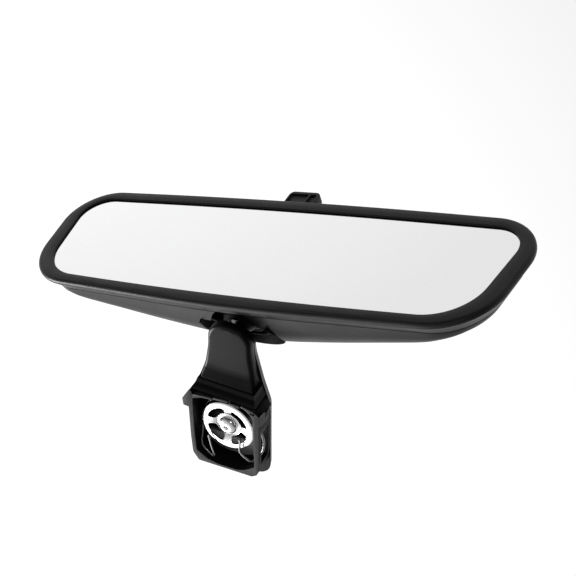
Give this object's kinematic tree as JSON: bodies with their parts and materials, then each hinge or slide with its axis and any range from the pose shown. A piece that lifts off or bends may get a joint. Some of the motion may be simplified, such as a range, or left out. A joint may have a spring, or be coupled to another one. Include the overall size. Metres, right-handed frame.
{
  "type": "interior rearview mirror",
  "caption": "Interior rearview mirror: prismatic glass in a moulded head on a ball-jointed arm, with a day/night lever and a clip-on windscreen mount.",
  "frame": {"origin": "middle of the mount's mating face, on the axis of its spring disc", "axes": "+Z out of the mating face towards the windscreen, +Y forward in the car and away from the driver, +X to the driver's right; the glass faces -Y, turned and tipped as in the rest pose"},
  "size_m": [0.2461, 0.1395, 0.0968],
  "materials": {
    "satin_black": "satin, finely grained",
    "gloss_black": "semi-gloss moulded",
    "dark_grey": "smooth matt",
    "bright_metal": "bright plated",
    "spring_steel": "drawn wire and turned steel",
    "mirror_glass": "polished, silvered on its back",
    "nylon": "black nylon",
    "foam": "soft foam and film"
  },
  "bodies": {
    "mount": {"arm_body": "gloss_black", "arm_front_cover": "gloss_black", "mount_frame": "dark_grey", "retainer_disc": "bright_metal", "hub_screw": "bright_metal", "spring_clip": "spring_steel", "ball_stud": "spring_steel"},
    "yaw_stage": {"ball_seat_inner": "nylon"},
    "pitch_stage": {"ball_seat_outer": "nylon"},
    "socket": {"socket_cup": "nylon", "pivot_plate": "dark_grey", "link_pin": "spring_steel", "clamp_screw_left": "bright_metal", "clamp_screw_right": "bright_metal"},
    "head": {"rear_housing": "satin_black", "bezel": "satin_black", "mirror_glass": "mirror_glass", "glass_backing": "foam", "neck_liner": "satin_black", "toggle_pin": "spring_steel", "detent_spring": "spring_steel", "tilt_pin_left": "spring_steel", "tilt_pin_right": "spring_steel", "hinge_block_left": "satin_black", "hinge_block_right": "satin_black", "lever_bracket_left": "satin_black", "lever_bracket_right": "satin_black", "foam_pad_left": "foam", "foam_pad_right": "foam"},
    "lever": {"toggle_lever": "satin_black"}
  },
  "joints": [
    {"name": "head_yaw", "type": "hinge", "parent": "mount", "child": "yaw_stage", "pos_m": [0.00052, -0.05025, -0.02614], "axis": [0, 0, 1], "range_deg": [-25, 10]},
    {"name": "head_pitch", "type": "hinge", "parent": "yaw_stage", "child": "pitch_stage", "pos_m": [0.00052, -0.05025, -0.02614], "axis": [1, 0, 0], "range_deg": [-4, 10]},
    {"name": "head_roll", "type": "hinge", "parent": "pitch_stage", "child": "socket", "pos_m": [0.00052, -0.05025, -0.02614], "axis": [0, 1, 0], "range_deg": [-4, 4]},
    {"name": "day_night_tilt", "type": "hinge", "parent": "socket", "child": "head", "pos_m": [0.00188, -0.05497, -0.02509], "axis": [0.9625, 0.2617, -0.071], "range_deg": [0, 4.5]},
    {"name": "toggle_flip", "type": "hinge", "parent": "head", "child": "lever", "pos_m": [0.00049, -0.06322, -0.07442], "axis": [0.9625, 0.2617, -0.071], "range_deg": [0, 45]}
  ],
  "couplings": [
    {"joint": "toggle_flip", "follows": "day_night_tilt", "ratio": 10}
  ]
}
